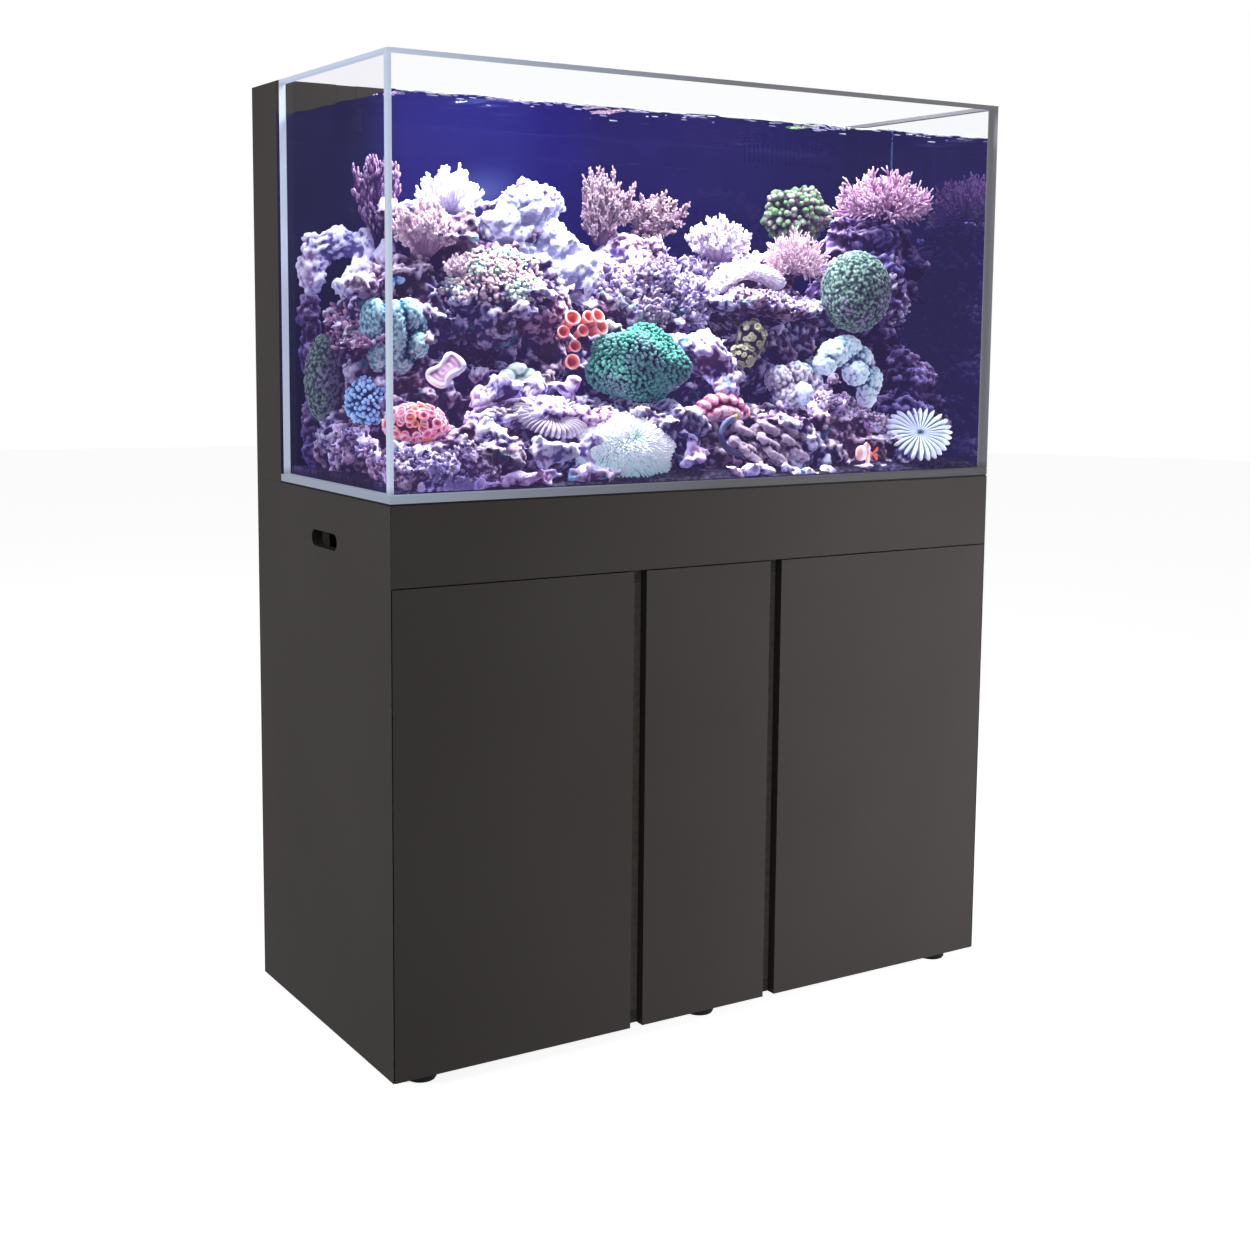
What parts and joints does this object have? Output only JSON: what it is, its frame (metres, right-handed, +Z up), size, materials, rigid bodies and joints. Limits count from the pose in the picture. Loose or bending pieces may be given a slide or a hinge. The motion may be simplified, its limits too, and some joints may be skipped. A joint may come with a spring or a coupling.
{
  "type": "reef aquarium on cabinet stand",
  "caption": "Rimless reef aquarium with a rear overflow shaft on a dark cabinet with hinged doors, filter sump and planted coral reef.",
  "frame": {"origin": "on the floor, in the middle of the footprint", "axes": "+X to the right as seen from the doors, +Y to the back, +Z up"},
  "size_m": [1.2, 0.56, 1.588],
  "materials": {
    "cabinet_lacquer": "satin anthracite lacquer on flat fibreboard, faint orange peel, no grain",
    "carcass_board": "dull dark melamine board",
    "hinge_steel": "nickel-plated pressed steel",
    "black_plastic": "moulded black plastic, fine texture",
    "clear_glass": "polished clear float glass, pale blue-grey edges",
    "foam": "dense black foam mat",
    "grey_pipe": "smooth grey PVC pipe",
    "red_plastic": "moulded red plastic lever",
    "clear_acrylic": "clear cast acrylic",
    "sand": "dark coarse reef sand",
    "live_rock": "porous reef rock with lilac, pink and white coralline crust",
    "coral_mint": "soft short tentacles, mint white",
    "coral_lilac": "thick ruffled mantle, brown lilac",
    "coral_green": "dense short polyps, dark green",
    "coral_blue": "lobed brain coral, blue green",
    "coral_orange": "packed button polyps, orange and pink",
    "coral_white": "finger-like white branches",
    "coral_pink": "fine branched pink coral"
  },
  "bodies": {
    "cabinet_and_tank": {"brain_coral": "coral_blue", "cabinet_back": "carcass_board", "cabinet_base": "carcass_board", "cabinet_left_side": "cabinet_lacquer", "cabinet_right_side": "cabinet_lacquer", "cabinet_top": "carcass_board", "carpet_anemone": "coral_mint", "center_panel": "cabinet_lacquer", "drain_pipe": "grey_pipe", "fascia_panel": "cabinet_lacquer", "finger_coral": "coral_white", "foam_mat": "foam", "front_rail": "carcass_board", "green_dome": "coral_green", "green_mound": "coral_green", "left_hinge_plate_lower": "hinge_steel", "left_hinge_plate_upper": "hinge_steel", "left_post": "carcass_board", "orange_zoanthids": "coral_orange", "return_pipe": "grey_pipe", "return_pump": "black_plastic", "right_hinge_plate_lower": "hinge_steel", "right_hinge_plate_upper": "hinge_steel", "right_post": "carcass_board", "rock_front": "live_rock", "rock_left": "live_rock", "rock_middle": "live_rock", "rock_right": "live_rock", "ruffled_clam": "coral_lilac", "sand_bed": "sand", "shaft_left_cheek": "cabinet_lacquer", "shaft_rear_cover": "cabinet_lacquer", "shaft_right_cheek": "cabinet_lacquer", "skimmer_body": "clear_acrylic", "sump_tank": "clear_acrylic", "table_acropora": "coral_pink", "tank_back": "clear_glass", "tank_bottom": "clear_glass", "tank_front": "clear_glass", "tank_left": "clear_glass", "tank_right": "clear_glass", "tree_coral": "coral_pink", "weir_box": "black_plastic"},
    "left_door": {"left_door": "cabinet_lacquer", "left_hinge_arm_lower": "hinge_steel", "left_hinge_arm_upper": "hinge_steel"},
    "right_door": {"right_door": "cabinet_lacquer", "right_hinge_arm_lower": "hinge_steel", "right_hinge_arm_upper": "hinge_steel"},
    "shaft_lid": {"shaft_lid": "cabinet_lacquer"},
    "weir_comb": {"weir_comb": "black_plastic"},
    "skimmer_cup": {"skimmer_cup": "clear_acrylic"},
    "return_nozzle": {"return_nozzle": "black_plastic"},
    "drain_valve_handle": {"drain_valve_handle": "red_plastic"},
    "foot_front_left": {"foot_front_left": "black_plastic"},
    "foot_front_middle": {"foot_front_middle": "black_plastic"},
    "foot_front_right": {"foot_front_right": "black_plastic"},
    "foot_rear_left": {"foot_rear_left": "black_plastic"},
    "foot_rear_middle": {"foot_rear_middle": "black_plastic"},
    "foot_rear_right": {"foot_rear_right": "black_plastic"}
  },
  "joints": [
    {"name": "left_door_hinge", "type": "hinge", "parent": "cabinet_and_tank", "child": "left_door", "pos_m": [-0.6, -0.28, 0.4], "axis": [0, 0, 1], "range_deg": [-100, 0]},
    {"name": "right_door_hinge", "type": "hinge", "parent": "cabinet_and_tank", "child": "right_door", "pos_m": [0.6, -0.28, 0.4], "axis": [0, 0, 1], "range_deg": [0, 100]},
    {"name": "shaft_lid_lift", "type": "slide", "parent": "cabinet_and_tank", "child": "shaft_lid", "axis": [0, 0, 1], "range_m": [0, 0.1]},
    {"name": "weir_comb_lift", "type": "slide", "parent": "cabinet_and_tank", "child": "weir_comb", "axis": [0, 0, 1], "range_m": [0, 0.1]},
    {"name": "skimmer_cup_lift", "type": "slide", "parent": "cabinet_and_tank", "child": "skimmer_cup", "axis": [0, 0, 1], "range_m": [0, 0.15]},
    {"name": "return_nozzle_swivel", "type": "hinge", "parent": "cabinet_and_tank", "child": "return_nozzle", "pos_m": [-0.48, 0.151, 1.55], "axis": [0, 1, 0], "range_deg": [-60, 60]},
    {"name": "drain_valve_turn", "type": "hinge", "parent": "cabinet_and_tank", "child": "drain_valve_handle", "pos_m": [0.42, 0.11, 0.55], "axis": [0, 1, 0], "range_deg": [0, 90]},
    {"name": "foot_front_left_turn", "type": "hinge", "parent": "cabinet_and_tank", "child": "foot_front_left", "pos_m": [-0.534, -0.238, 0.009], "axis": [0, 0, 1], "range_deg": [0, 2880]},
    {"name": "foot_front_middle_turn", "type": "hinge", "parent": "cabinet_and_tank", "child": "foot_front_middle", "pos_m": [0, -0.238, 0.009], "axis": [0, 0, 1], "range_deg": [0, 2880]},
    {"name": "foot_front_right_turn", "type": "hinge", "parent": "cabinet_and_tank", "child": "foot_front_right", "pos_m": [0.534, -0.238, 0.009], "axis": [0, 0, 1], "range_deg": [0, 2880]},
    {"name": "foot_rear_left_turn", "type": "hinge", "parent": "cabinet_and_tank", "child": "foot_rear_left", "pos_m": [-0.534, 0.23, 0.009], "axis": [0, 0, 1], "range_deg": [0, 2880]},
    {"name": "foot_rear_middle_turn", "type": "hinge", "parent": "cabinet_and_tank", "child": "foot_rear_middle", "pos_m": [0, 0.23, 0.009], "axis": [0, 0, 1], "range_deg": [0, 2880]},
    {"name": "foot_rear_right_turn", "type": "hinge", "parent": "cabinet_and_tank", "child": "foot_rear_right", "pos_m": [0.534, 0.23, 0.009], "axis": [0, 0, 1], "range_deg": [0, 2880]}
  ]
}
